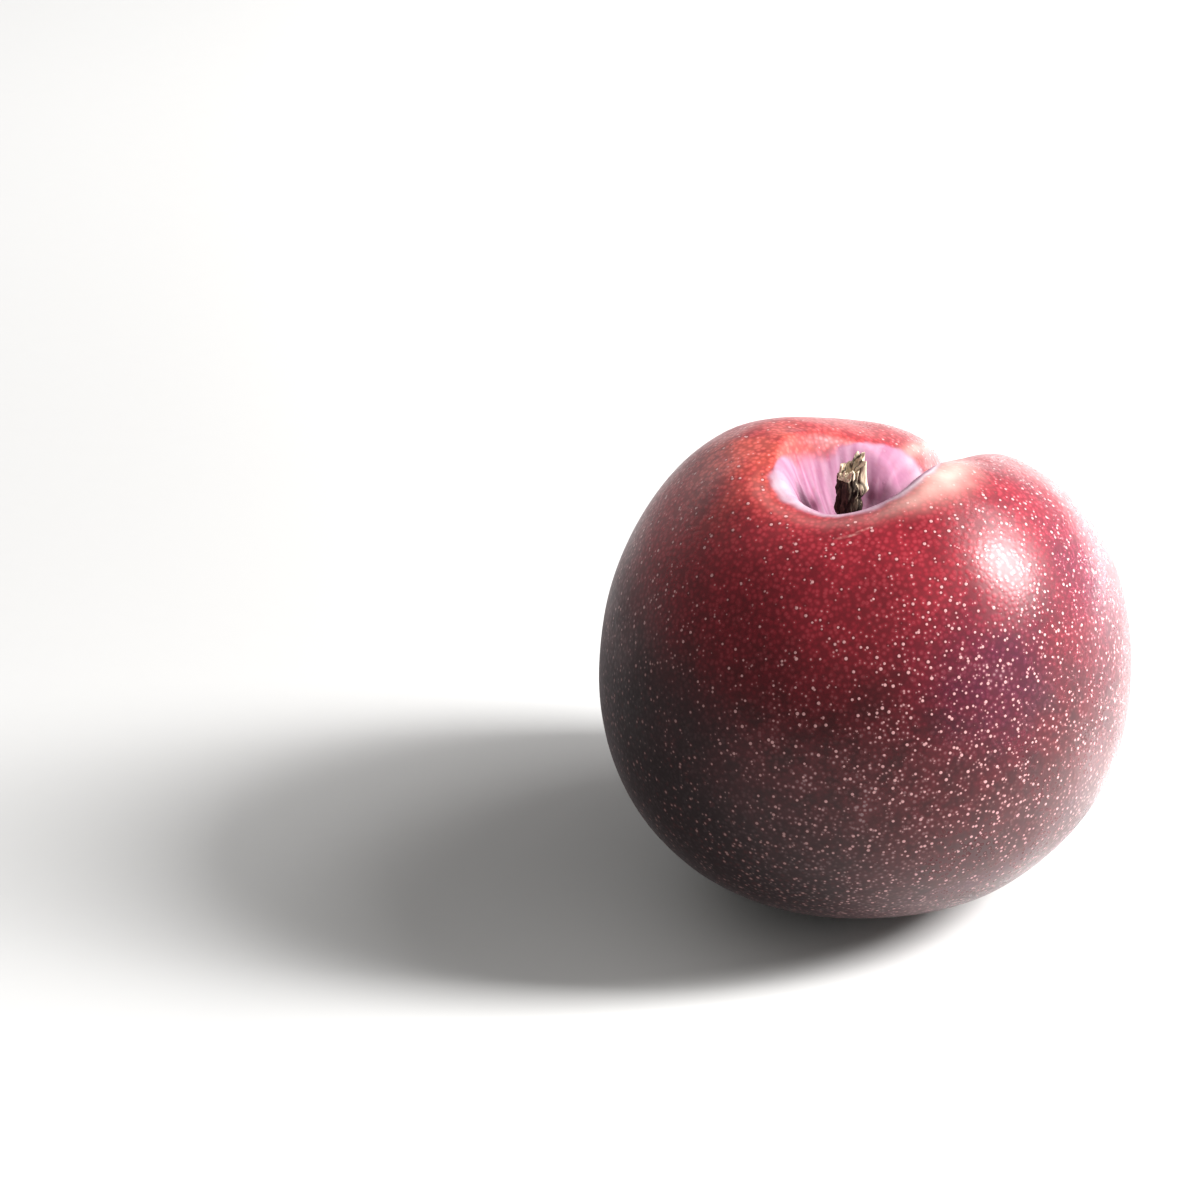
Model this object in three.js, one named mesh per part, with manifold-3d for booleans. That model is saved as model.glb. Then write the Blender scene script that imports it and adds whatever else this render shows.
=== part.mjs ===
// A ripe round plum as picked, resting on a small flat spot, with its short broken-off stem in the stem cavity.
// Units are millimetres and +Z is up. The origin lies on the surface that the plum rests on, under the middle
// of its box. The fruit grew as one piece and is one solid. The stem is a separate organ and a separate solid.

import * as THREE from 'three';
import { mergeVertices } from 'three/addons/utils/BufferGeometryUtils.js';
import Module from 'manifold-3d';

// ---- Driving dimensions of the fruit ----

const WIDEST_RADIUS = 32;
const WIDEST_HEIGHT = 25.6;
const CREST_RADIUS = 9.7; // the rounded rim of the stem cavity
const CREST_HEIGHT = 55.2;
const CAVITY_DEPTH = 10;
const CAVITY_REACH = 0.9; // rings within this share of the crest's radius are centred on the stem
const BASE_RADIUS = 4; // the ring round the blossom-end dimple
const DIMPLE_DEPTH = 1;

// How full each stretch of the profile is: the reach of its curve's handles, as shares of the room they have.
const DIMPLE_FULLNESS = 0.4;
const FLANK_BASE_FULLNESS = 0.57;
const FLANK_SIDE_FULLNESS = 0.62;
const SHOULDER_SIDE_FULLNESS = 0.61;
const SHOULDER_TOP_FULLNESS = 0.45;
const CREST_INNER_FULLNESS = 0.32;
const CAVITY_FLOOR_FULLNESS = 0.66;

// The suture is the groove that runs from the stem cavity down to the blossom end: a wide soft valley with a
// narrow cleft along its middle. It curves round as it leaves the rim. Azimuths are in degrees, from +X to +Y.
const SUTURE_RIM_AZIMUTH = 43;
const SUTURE_TWIST = 20.2;
const VALLEY_DEPTH = 3.2;
const VALLEY_WIDTH = 4.8;
const CLEFT_DEPTH = 4.4;
const CLEFT_WIDTH = 2.2;

// The stem cavity lies off the middle of the body, and its rim is saddle-shaped: low along the suture's plane.
const CAVITY_OFFSET = new THREE.Vector2(-1.95, -3.9);
const OVALITY = 0.017;
const RIM_SADDLE = 1.7;
const RIM_SADDLE_AZIMUTH = 62;

// How much of the underside is flat.
const FLAT_HEIGHT = 0.12;

// ---- Driving dimensions of the stem ----

const STEM_ROOT_DEPTH = 1.4; // how far it stands below the cavity's floor
const STEM_ROOT_RADIUS = 1.25;
const STEM_TOP = 11.3;
const STEM_OFFSET = -0.85; // of its root from the middle of the floor, along X
const STEM_BEND = 0.8; // how far its top leans back over towards +X
const STEM_RIDGES = 5;
const STEM_RIDGE_SHARE = 0.07; // how far they stand out, as a share of its radius
const STEM_RIDGES_FROM = [0.3, 2.8]; // the heights between which they rise out of its round root
const STEM_TWIST = 3; // how far they wind round it over its whole height, in radians
const STEM_TEAR = 0.45; // how ragged its broken top is
const STEM_TEAR_FROM = 0.85; // the share of its height above which it is torn

// The stem's outline as [radius, height above the cavity's floor]: root, woody shaft, knob and broken top.
const STEM_OUTLINE = [
  [1, -STEM_ROOT_DEPTH],
  [STEM_ROOT_RADIUS, -0.9],
  [STEM_ROOT_RADIUS, 0.3],
  [1.42, 2.6],
  [1.5, 5.9],
  [1.82, 7.5],
  [1.5, 9.1],
  [1.2, 10.4],
  [0.7, STEM_TOP - 0.3],
];
const CLEARANCE = 0.3; // between the stem and its socket

// ---- How finely the surfaces are divided ----

const AZIMUTH_STEPS = 72;
const AZIMUTH_CROWDING = 0.45; // gathers the meridians towards the suture
const STRETCH_STEPS = [4, 12, 14, 11]; // rings in the dimple, flank, shoulder and cavity
const STEM_SIDES = 18;
const STEM_RINGS = 26;
const SOCKET_SIDES = 24;
const WELD_DISTANCE = 1e-4;

// A station says where a ring lies along the profile. Whole numbers are the ends of its four stretches.
const BLOSSOM_END = 0;
const BASE = 1;
const WIDEST = 2;
const CREST = 3;
const CAVITY_FLOOR = 4;

// The suture swings round between the first two stations. It sinks square to the skin below the first of the
// next two, and straight down above the second.
const SUTURE_SWING = [2.3, 3.1];
const SUTURE_TURNS_DOWN = [2.25, 2.85];

const wasm = await Module();
wasm.setup();

const radians = THREE.MathUtils.degToRad;
const { lerp, smoothstep } = THREE.MathUtils;

// ---- Solids ----

function toSolid(geometry) {
  const bare = geometry.clone();
  bare.deleteAttribute('normal');
  bare.deleteAttribute('uv');
  const welded = mergeVertices(bare, WELD_DISTANCE);
  const corners = welded.index.array;
  const triangles = [];
  for (let i = 0; i < corners.length; i += 3) {
    const [a, b, c] = corners.slice(i, i + 3);
    const collapsed = a === b || b === c || c === a; // as at a lathe's two poles
    if (!collapsed) triangles.push(a, b, c);
  }
  const vertProperties = welded.attributes.position.array;
  const triVerts = Uint32Array.from(triangles);
  return new wasm.Manifold(new wasm.Mesh({ numProp: 3, vertProperties, triVerts }));
}

function toGeometry(solid) {
  const { numProp, vertProperties, triVerts } = solid.getMesh();
  const geometry = new THREE.BufferGeometry();
  geometry.setAttribute('position', new THREE.BufferAttribute(vertProperties, numProp));
  geometry.setIndex(new THREE.BufferAttribute(triVerts, 1));
  geometry.computeVertexNormals();
  return geometry;
}

// A lathe's points run round +Y. This gives them new places in the frame whose +Z is up, by a function of the
// profile point's number and the turn from 0 to 2 pi.
function shapedLathe(profile, sides, place) {
  const geometry = new THREE.LatheGeometry(profile, sides);
  const position = geometry.attributes.position;
  for (let side = 0; side <= sides; side++) {
    const turn = ((side % sides) / sides) * 2 * Math.PI;
    for (let i = 0; i < profile.length; i++) {
      const point = place(i, turn);
      position.setXYZ(side * profile.length + i, point.x, point.y, point.z);
    }
  }
  return geometry;
}

// ---- The fruit ----

// The four stretches of the profile, from the blossom end up to the cavity's floor, in (radius, height).
function profileStretches() {
  const point = (radius, height) => new THREE.Vector2(radius, height);
  const curve = (...points) => new THREE.CubicBezierCurve(...points);
  const floorHeight = CREST_HEIGHT - CAVITY_DEPTH;
  return [
    curve(
      point(0, DIMPLE_DEPTH),
      point(BASE_RADIUS * DIMPLE_FULLNESS, DIMPLE_DEPTH),
      point(BASE_RADIUS * (1 - DIMPLE_FULLNESS), 0),
      point(BASE_RADIUS, 0),
    ),
    curve(
      point(BASE_RADIUS, 0),
      point(lerp(BASE_RADIUS, WIDEST_RADIUS, FLANK_BASE_FULLNESS), 0),
      point(WIDEST_RADIUS, WIDEST_HEIGHT * (1 - FLANK_SIDE_FULLNESS)),
      point(WIDEST_RADIUS, WIDEST_HEIGHT),
    ),
    curve(
      point(WIDEST_RADIUS, WIDEST_HEIGHT),
      point(WIDEST_RADIUS, lerp(WIDEST_HEIGHT, CREST_HEIGHT, SHOULDER_SIDE_FULLNESS)),
      point(lerp(CREST_RADIUS, WIDEST_RADIUS, SHOULDER_TOP_FULLNESS), CREST_HEIGHT),
      point(CREST_RADIUS, CREST_HEIGHT),
    ),
    curve(
      point(CREST_RADIUS, CREST_HEIGHT),
      point(CREST_RADIUS * (1 - CREST_INNER_FULLNESS), CREST_HEIGHT),
      point(CREST_RADIUS * CAVITY_FLOOR_FULLNESS, floorHeight),
      point(0, floorHeight),
    ),
  ];
}

// Every ring of the fruit: its station, radius, height and outward direction in the profile's plane.
function fruitRings() {
  const rings = [];
  profileStretches().forEach((stretch, start) => {
    const steps = STRETCH_STEPS[start];
    const first = start === BLOSSOM_END ? 0 : 1; // each later stretch starts on the last ring of the one before
    for (let i = first; i <= steps; i++) {
      const { x: radius, y: height } = stretch.getPoint(i / steps);
      const tangent = stretch.getTangent(i / steps);
      const outward = new THREE.Vector2(tangent.y, -tangent.x);
      rings.push({ station: start + i / steps, radius, height, outward });
    }
  });
  return rings;
}

// Straight-line interpolation in a short list of [station, value] pairs.
function alongProfile(pairs, station) {
  const next = pairs.findIndex(([at]) => at >= station);
  if (next <= 0) return pairs[Math.max(next, 0)][1];
  const [[fromStation, from], [toStation, to]] = [pairs[next - 1], pairs[next]];
  return lerp(from, to, (station - fromStation) / (toStation - fromStation));
}

// The suture is deepest where it crosses the rim, and dies out at the blossom end and on the cavity's floor.
const SUTURE_STRENGTH = [
  [BLOSSOM_END, 0],
  [BASE, 0],
  [WIDEST, 0.12],
  [2.4, 0.35],
  [2.75, 0.85],
  [CREST, 1],
  [3.55, 0.45],
  [CAVITY_FLOOR, 0],
];

function sutureAzimuth(station) {
  const leavingRim = 1 - smoothstep(station, ...SUTURE_SWING);
  return radians(SUTURE_RIM_AZIMUTH + SUTURE_TWIST * leavingRim);
}

function sutureDepth(ring, fromSuture) {
  const across = ring.radius * Math.abs(fromSuture);
  const valley = VALLEY_DEPTH * Math.exp(-((across / VALLEY_WIDTH) ** 2));
  const cleft = CLEFT_DEPTH * Math.exp(-((across / CLEFT_WIDTH) ** 2));
  return (valley + cleft) * alongProfile(SUTURE_STRENGTH, ring.station);
}

function sutureDirection({ station, outward }) {
  const straightUp = new THREE.Vector2(0, 1);
  return outward.clone().lerp(straightUp, smoothstep(station, ...SUTURE_TURNS_DOWN)).normalize();
}

// The middle of a ring: on the Z axis up to the widest ring, then moving over to the middle of the stem cavity.
function ringCentre({ station, radius }) {
  const offset = station > WIDEST ? 1 - smoothstep(radius, CREST_RADIUS * CAVITY_REACH, WIDEST_RADIUS) : 0;
  return CAVITY_OFFSET.clone().multiplyScalar(offset);
}

// How far the saddle lowers a ring: fully at the crest, not at all at the widest ring and the cavity's floor.
function rimDrop({ station, height }, azimuth) {
  if (station <= WIDEST) return 0;
  const onShoulder = smoothstep(height, WIDEST_HEIGHT, CREST_HEIGHT);
  const inCavity = smoothstep(CAVITY_FLOOR - station, 0, 1);
  const share = station > CREST ? inCavity : onShoulder;
  return share * RIM_SADDLE * Math.cos(2 * (azimuth - radians(RIM_SADDLE_AZIMUTH)));
}

function fruitPoint(ring, turn) {
  const fromSuture = turn > Math.PI ? turn - 2 * Math.PI : turn;
  const crowded = fromSuture - AZIMUTH_CROWDING * Math.sin(fromSuture);
  const azimuth = sutureAzimuth(ring.station) + crowded;
  const groove = sutureDirection(ring).multiplyScalar(sutureDepth(ring, crowded));
  const radius = ring.radius * (1 + OVALITY * Math.cos(2 * crowded)) - groove.x;
  const height = ring.height - groove.y - rimDrop(ring, azimuth);
  const { x, y } = ringCentre(ring);
  return new THREE.Vector3(x + radius * Math.cos(azimuth), y + radius * Math.sin(azimuth), height);
}

function fruitSkin() {
  const rings = fruitRings();
  const profile = rings.map(({ radius, height }) => new THREE.Vector2(radius, height));
  return shapedLathe(profile, AZIMUTH_STEPS, (i, turn) => fruitPoint(rings[i], turn));
}

// The move that centres the fruit's box on the Z axis, and sinks the fruit by the height of its flat.
function restingPose(skin) {
  const box = new THREE.Box3().setFromBufferAttribute(skin.attributes.position);
  const middle = box.getCenter(new THREE.Vector3());
  return new THREE.Matrix4().makeTranslation(-middle.x, -middle.y, -box.min.z - FLAT_HEIGHT);
}

// A block under the resting surface, for cutting the small flat that the fruit stands on.
function blockBelow() {
  const side = 4 * WIDEST_RADIUS;
  return new THREE.BoxGeometry(side, side, side).translate(0, 0, -side / 2);
}

// The cutter for the plain round hole in the cavity's floor, which the root of the stem stands in.
function stemSocket() {
  const depth = STEM_ROOT_DEPTH + CLEARANCE;
  const above = CAVITY_DEPTH / 2;
  const radius = STEM_ROOT_RADIUS + CLEARANCE;
  return new THREE.CylinderGeometry(radius, radius, depth + above, SOCKET_SIDES)
    .rotateX(Math.PI / 2)
    .translate(STEM_OFFSET, 0, (above - depth) / 2);
}

function fruitGeometry(skin, pose, stemPose) {
  const body = toSolid(skin.clone().applyMatrix4(pose));
  const socket = toSolid(stemSocket().applyMatrix4(stemPose));
  return toGeometry(body.subtract(toSolid(blockBelow())).subtract(socket));
}

// ---- The stem ----

function stemProfile() {
  const outlinePoints = STEM_OUTLINE.map(([radius, height]) => new THREE.Vector2(radius, height));
  const outline = new THREE.SplineCurve(outlinePoints);
  return [
    new THREE.Vector2(0, -STEM_ROOT_DEPTH),
    ...outline.getPoints(STEM_RINGS),
    new THREE.Vector2(0, STEM_TOP),
  ];
}

function stemPoint({ x: radius, y: height }, turn) {
  const up = height / STEM_TOP;
  const rise = smoothstep(height, ...STEM_RIDGES_FROM);
  const ridge = STEM_RIDGE_SHARE * rise * Math.cos(STEM_RIDGES * turn + STEM_TWIST * up);
  const ragged = STEM_TEAR * (Math.cos(turn) + Math.cos(3 * turn) / 2) * smoothstep(up, STEM_TEAR_FROM, 1);
  const bend = STEM_OFFSET + STEM_BEND * Math.max(up, 0) ** 2;
  const tear = radius > 0 ? ragged : 0; // the middle of the top and of the root stay where they are
  return new THREE.Vector3(
    radius * (1 + ridge) * Math.cos(turn) + bend,
    radius * (1 + ridge) * Math.sin(turn),
    height - tear,
  );
}

function stemGeometry(stemPose) {
  const profile = stemProfile();
  const stem = shapedLathe(profile, STEM_SIDES, (i, turn) => stemPoint(profile[i], turn));
  return toGeometry(toSolid(stem.applyMatrix4(stemPose)));
}

// ---- Materials and assembly ----

function skinMaterial() {
  return new THREE.MeshStandardMaterial({ color: 0x5e1c2b, roughness: 0.36, metalness: 0 });
}

function woodMaterial() {
  return new THREE.MeshStandardMaterial({ color: 0x6b4e36, roughness: 0.88, metalness: 0 });
}

function namedMesh(name, geometry, material) {
  const mesh = new THREE.Mesh(geometry, material);
  mesh.name = name;
  return mesh;
}

function makePlum() {
  const skin = fruitSkin();
  const pose = restingPose(skin);
  const floorHeight = CREST_HEIGHT - CAVITY_DEPTH;
  const toFloor = new THREE.Matrix4().makeTranslation(CAVITY_OFFSET.x, CAVITY_OFFSET.y, floorHeight);
  const stemPose = pose.clone().multiply(toFloor);
  const plum = new THREE.Group();
  plum.add(namedMesh('plum_fruit', fruitGeometry(skin, pose, stemPose), skinMaterial()));
  plum.add(namedMesh('stem_stub', stemGeometry(stemPose), woodMaterial()));
  return plum;
}

export default makePlum();
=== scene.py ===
# The looks of a ripe round plum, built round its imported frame. Blender's unit is the metre. The
# dimensions below are in millimetres, as in the CAD source, and are scaled where a mesh, lamp or
# camera is made.
import math

import bpy
import numpy as np
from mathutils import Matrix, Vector, noise


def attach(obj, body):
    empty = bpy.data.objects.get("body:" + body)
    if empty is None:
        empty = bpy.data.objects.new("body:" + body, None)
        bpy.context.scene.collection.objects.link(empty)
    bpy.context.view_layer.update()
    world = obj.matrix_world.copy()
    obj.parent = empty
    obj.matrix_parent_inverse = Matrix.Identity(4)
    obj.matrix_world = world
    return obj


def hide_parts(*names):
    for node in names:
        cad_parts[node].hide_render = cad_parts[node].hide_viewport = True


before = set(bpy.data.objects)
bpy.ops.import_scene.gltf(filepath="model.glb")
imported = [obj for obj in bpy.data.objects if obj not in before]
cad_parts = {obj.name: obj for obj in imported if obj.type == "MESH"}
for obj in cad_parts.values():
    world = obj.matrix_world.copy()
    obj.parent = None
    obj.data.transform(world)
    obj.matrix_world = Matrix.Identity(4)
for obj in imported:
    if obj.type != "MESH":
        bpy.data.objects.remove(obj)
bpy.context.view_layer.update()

MM = 0.001
NEARLY_ZERO = 1e-9
SEED_STEPS = (7.3, 3.1, 5.7)  # how far each seed moves the noise along each axis

# ---- Driving dimensions of the fruit, as in the CAD source ----

WIDEST_RADIUS = 32
WIDEST_HEIGHT = 25.6
CREST_RADIUS = 9.7
CREST_HEIGHT = 55.2
CAVITY_DEPTH = 10
CAVITY_REACH = 0.9
BASE_RADIUS = 4
DIMPLE_DEPTH = 1
DIMPLE_FULLNESS = 0.4
FLANK_BASE_FULLNESS = 0.57
FLANK_SIDE_FULLNESS = 0.62
SHOULDER_SIDE_FULLNESS = 0.61
SHOULDER_TOP_FULLNESS = 0.45
CREST_INNER_FULLNESS = 0.32
CAVITY_FLOOR_FULLNESS = 0.66
SUTURE_RIM_AZIMUTH = 43
SUTURE_TWIST = 20.2
VALLEY_DEPTH = 3.2
VALLEY_WIDTH = 4.8
CLEFT_DEPTH = 4.4
CLEFT_WIDTH = 2.2
CAVITY_OFFSET = np.array([-1.95, -3.9])
OVALITY = 0.017
RIM_SADDLE = 1.7
RIM_SADDLE_AZIMUTH = 62
FLAT_HEIGHT = 0.12
SUTURE_SWING = (2.3, 3.1)
SUTURE_TURNS_DOWN = (2.25, 2.85)
SUTURE_STATIONS = (0, 1, 2, 2.4, 2.75, 3, 3.55, 4)
SUTURE_STRENGTHS = (0, 0, 0.12, 0.35, 0.85, 1, 0.45, 0)

# A station says where a ring lies along the profile. Whole numbers are the ends of its four
# stretches.
BLOSSOM_END, BASE, WIDEST, CREST, CAVITY_FLOOR = range(5)
STRETCH_RINGS = (18, 72, 84, 64)
MERIDIANS = 400
AZIMUTH_CROWDING = 0.45

# ---- Fine relief of the skin, in millimetres ----

UNDULATIONS = ((15, 0.22), (6, 0.05))  # wavelength and height
RIM_WANDER = 0.35  # how far the crest's own height wanders
RIM_WANDER_LENGTH = 5
RIM_WANDER_REACH = 0.25  # to either side of the crest, in stations
FOLD_COUNT = 26  # radial folds round the stem cavity
FOLD_DEPTH = 0.07
FOLD_EVENNESS = 0.6
FOLD_PATCH_LENGTH = 3
FOLD_WANDER = 2.5  # in radians
FOLD_WANDER_LENGTH = 4
FOLDS_PAST_CREST = (0.05, 0.4)  # the stations past the crest over which they come in
FOLDS_PAST_AXIS = (1, 3)  # the radii over which they come in
CREASE_WIDTH = 0.4  # the fine crease along the middle of the suture
CREASE_DEPTH = 0.3
COLLAR_RADIUS = 2.6  # the flesh swells round the stem's root
COLLAR_WIDTH = 0.9
COLLAR_HEIGHT = 0.5
COLLAR_LOBES = 7
COLLAR_LOBE_SHARE = 0.3
SCAR_RADIUS = 0.9  # the dry blossom scar in the dimple
SCAR_HEIGHT = 0.35

# ---- Where the skin's colours and its painted light and shade lie: spots as (centre, reach, amount), in millimetres ----

# Orange: the three spots round the top of the stem cavity are painted light, backlight glowing
# through the shoulder; the two lower ones are blush.
BLUSH_AND_BACKLIGHT_SPOTS = (
    ((-13, -2, 57), 9, 1.0),
    ((-6, 7, 56), 9, 0.4),
    ((1, 11, 54), 7, 0.15),
    ((22, 16, 44), 14, 0.22),
    ((-24, 18, 40), 13, 0.3),
)
PURPLE_SPOTS = (
    ((14, -26, 40), 8, 0.8),
    ((24, -8, 45), 13, 0.6),
    ((10, 30, 30), 18, 0.6),
    ((-30, 8, 28), 14, 0.5),
)
# Faint wisps of bloom; the last, broad and low on the front, is a painted reflection of the pale
# table.
BLOOM_WISPS_AND_REFLECTION = (
    ((8.8, -27.5, 40.7), 1.8, 0.35),
    ((14, -25.4, 40.2), 2.2, 0.2),
    ((-14, 25, 35), 6, 0.12),
    ((-3, -32, 26), 10, 0.24),
)
# Painted shadow low in the stem cavity, round the foot of the stem.
CAVITY_SHADOW_SPOTS = (
    ((-6.5, -1.6, 48.9), 1.1, 0.9),
    ((0.6, 2.0, 48.3), 1.3, 0.9),
    ((2.2, 2.8, 48.6), 1.0, 0.6),
)
# Painted highlights: white glints where backlight catches the cavity's edges.
CAVITY_GLINT_SPOTS = (
    ((-11.2, -8.0, 54.6), 2.6, 0.5),
    ((-9.0, -10.8, 53.6), 2.0, 0.5),
    ((5.0, 7.4, 50.0), 1.1, 0.35),
)
MOUTH_SPOTS = (((-2, -4, 55), 16, 1),)  # round the mouth of the stem cavity
MOUTH_STRENGTHS = (0.5, 1.8)  # at the front and at the back
DRIFT_LENGTH = 9  # the wavelength at which the great patches of colour wander
RED_HEIGHTS = (33, 56.5)  # dark maroon below, red above
RED_DRIFT = 4
PAINTED_SHADE_SIDE = (-0.75, -0.25, -0.6)  # painted shade: the direction in which the skin is painted darker, nearly to black, on the side that gets little light
PAINTED_SHADE_REACH = (-8, 8)  # where along that direction it starts and ends
PAINTED_SHADE_DRIFT = 3
LOW_HEIGHTS = (34, 12)  # nearly brown below, on the bright side from higher up
LOW_SLOPE = 0.35
DOT_DENSITIES = (0.5, 1)  # lenticels are scarcer on the left, most so high up
DOT_SIDES = (-37, -9)
DOT_SLOPE = 0.5
# Scratches: where each lies, which way it runs in radians, and its half length, width and depth.
SCRATCHES = (
    ((-3.6, -17.6, 53.1), 0.1, (2.1, 0.26, 0.7)),
    ((-1.5, -17.0, 53.7), 0.25, (1.6, 0.22, 0.7)),
)

# ---- The bloom in the stem cavity and the painted highlights along the lip round it, in stations and degrees ----

BLOOM_EDGE = (  # the station of the bloom's edge at each azimuth
    (-180, 3.05),
    (-165, 2.96),
    (-143, 2.955),
    (-130, 2.97),
    (0, 2.98),
    (30, 2.98),
    (43, 2.86),
    (56, 2.85),
    (62, 2.89),
    (71, 2.93),
    (82, 2.99),
    (95, 3.1),
    (123, 3.25),
    (150, 3.22),
    (170, 3.13),
    (180, 3.05),
)
BACK_AZIMUTHS = ((80, 120), (155, 180))  # where the back comes in and where it goes out
FRONT_AZIMUTHS = ((-180, -150), (48, 62))
EDGE_WANDER = (0.015, 0.06)  # how far the edge wanders, at the front and at the back
EDGE_WANDER_LENGTH = 1.6
EDGE_SOFTNESS = (0.03, 0.2)  # at the front and at the back
WHITE_LINE_INSIDE = 0.03  # a painted highlight, a white line, lies so far inside the edge
WHITE_LINE_WIDTH = 0.035
WHITE_LINE_AZIMUTHS = (-80, -35)  # between these its strength goes from the first to the second
WHITE_LINE_STRENGTHS = (0.36, 0.8)
NEAR_RIGHT = -30  # the near right of the cavity, where the painted highlight on the lip is broadest and palest
NEAR_RIGHT_REACH = 38
LIP_OUTSIDE = 0.04  # the lip's painted highlight lies so far outside the edge
LIP_WIDTHS = (0.035, 0.085)  # away from the near right and at it
LIP_STRENGTHS = (0.12, 0.85)
LIP_PATCHINESS = 0.35
LIP_PATCH_LENGTH = 2.2
STRIP_SIDE = 3.4  # how far a strip of bloom lies from the suture's middle, in millimetres
STRIP_WIDTH = 0.75
STRIP_STATIONS = ((2.5, 2.78), (2.86, 2.98))  # where it comes in and where it goes out
STRIP_STRENGTH = 0.42
STRIP_PATCHINESS = 0.5
STRIP_PATCH_LENGTH = 1.8
STREAKS = ((0.07, 0.9), (0.2, 0.7))  # wavelength round a circle of radius 1, and strength
STREAK_STRETCH = 0.25
STREAK_LEVEL = 0.5

# ---- Patterns of the skin's material, in millimetres ----

MOTTLE_LENGTH = 7
BLOTCH_LENGTH = 3.2
BLOOM_PATCH_LENGTH = 1.1
SCRATCH_PATCH_LENGTH = 0.9
GRAIN_SPACING = 0.60  # of the fine pores all over the skin
PORE_REACH = (0.14, 0.75)  # as shares of that spacing
PORE_DARKNESS = 0.45
HAZE_LEVEL = 0.025
HAZE_LOW_DOWN = 0.04  # more of it low down, a painted reflection of the pale table
HAZE_ON_DARK_SIDE = -0.75  # and less in the painted shade
SCRATCH_REACH = (1.0, 0.3)  # where a scratch starts and where it is full, as shares of its size
LARGE_DOTS = (0.86, 0.25)  # spacing and greatest radius
LARGE_DOT_SPREAD = 0.3  # by what share the smallest are smaller
LARGE_DOT_STRENGTH = 0.9
SMALL_DOTS = (0.60, 0.17)
SMALL_DOT_SPREAD = 0.45
SMALL_DOT_STRENGTH = 0.55
SMALL_DOT_DENSITY = 0.85
DOT_REACH = (1.0, 0.55)  # where a dot starts and where it is full, as shares of its own radius
RING_REACH = (2.0, 1.1)
RING_DARKNESS = 0.3
BLOOM_ROUGHNESS = 0.4  # these come on top of the wax's own roughness
MOUTH_ROUGHNESS = 0.14
DARK_ROUGHNESS = 0.35
GRAIN_ROUGHNESS = 0.08
DOT_RELIEF = 0.03
GRAIN_RELIEF = -0.02
SKIN_BUMP_STRENGTH = 0.5

# Ramps: a range of the pattern or field that they read, and the range that they turn it into.
MAROON_BLOTCHES = ((0.35, 0.62), (0.0, 1.0))
BROWN_LOW_DOWN = ((0.3, 1.0), (0.0, 0.6))
RED_MOTTLE = ((0.3, 0.7), (0.75, 1.2))
PURPLE_MOTTLE = ((0.25, 0.75), (1.1, 0.5))
BLUSH_AND_BACKLIGHT_BLOTCHES = ((0.32, 0.64), (0.2, 1.25))
WISP_BLOTCHES = ((0.45, 0.62), (0.0, 1.0))
HAZE_IN_PORES = ((0.5, 0.0), (0.2, 2.6))
SCRATCH_PATCHES = ((0.42, 0.62), (0.08, 0.42))
BLOOM_PATCHES = ((0.2, 0.5), (0.8, 1.0))
DEEP_STREAKS = ((0.5, 0.95), (0.0, 0.45))
PALE_STREAKS = ((0.45, 0.15), (0.0, 0.35))
WAX_ROUGHNESS = ((0.3, 0.7), (0.22, 0.29))

# ---- Colours, as linear red, green and blue ----

MAROON = (0.118, 0.0085, 0.0135)
BROWN = (0.058, 0.009, 0.0105)
RED = (0.360, 0.020, 0.034)
ORANGE = (0.600, 0.088, 0.068)
PURPLE = (0.112, 0.015, 0.048)
LENTICEL = (0.600, 0.320, 0.320)
# painted shade: the lenticels' colour on the side that gets little light
LENTICEL_IN_PAINTED_SHADE = (0.187, 0.106, 0.100)
NEARLY_BLACK = (0.009, 0.002, 0.003)
PALE_POWDER_AND_REFLECTION = (0.300, 0.212, 0.219)
# painted highlight along the cavity's lip; also the colour of the bloom strip by the suture and of
# the scratches
LIP_HIGHLIGHT_AND_MARKS = (0.640, 0.380, 0.330)
BLOOM = (0.325, 0.152, 0.226)
BLOOM_PALE = (0.370, 0.228, 0.300)
GLINT_WHITE = (0.540, 0.455, 0.480)
BLOOM_STREAK = (0.235, 0.066, 0.140)
CAVITY_SHADOW_COLOUR = (0.075, 0.007, 0.028)
SCAR = (0.100, 0.056, 0.031)
SHEEN = (1.0, 0.86, 0.88)
BARK = (0.036, 0.021, 0.014)
BARK_PALE = (0.230, 0.142, 0.090)
TORN_WOOD = (0.860, 0.700, 0.500)
CRACK = (0.011, 0.007, 0.004)
FLOOR = (0.562, 0.559, 0.553)
FLOOR_PAINTED_SHADE = (0.500, 0.496, 0.490)
FLOOR_PAINTED_LIGHT = (0.820, 0.810, 0.795)

# ---- Camera: it looks along +Y and down, so the picture's right is +X ----

CAMERA_ELEVATION = 28
CAMERA_DISTANCE = 600  # from the plane through the plum's middle
PIXEL_SIZE = 0.118  # at that distance
IMAGE_SIZE = 1200
SENSOR = 36
AXIS_HEIGHT = 28  # the point at this height on the stem cavity's axis
AXIS_PIXEL = (850.3, 672.2)  # lies at this pixel


# ---- The fruit's surface ----

def smoothstep(value, low, high):
    share = np.clip((value - low) / (high - low), 0, 1)
    return share * share * (3 - 2 * share)


def band(value, comes_in, goes_out):
    """Rises from 0 to 1 over the first range and falls back to 0 over the second."""
    return smoothstep(value, *comes_in) * (1 - smoothstep(value, *goes_out))


def bell(value, width):
    """1 at zero, falling smoothly towards 0 on both sides."""
    return np.exp(-(value / width) ** 2)


def lerp(start, end, share):
    return start + (end - start) * share


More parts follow.
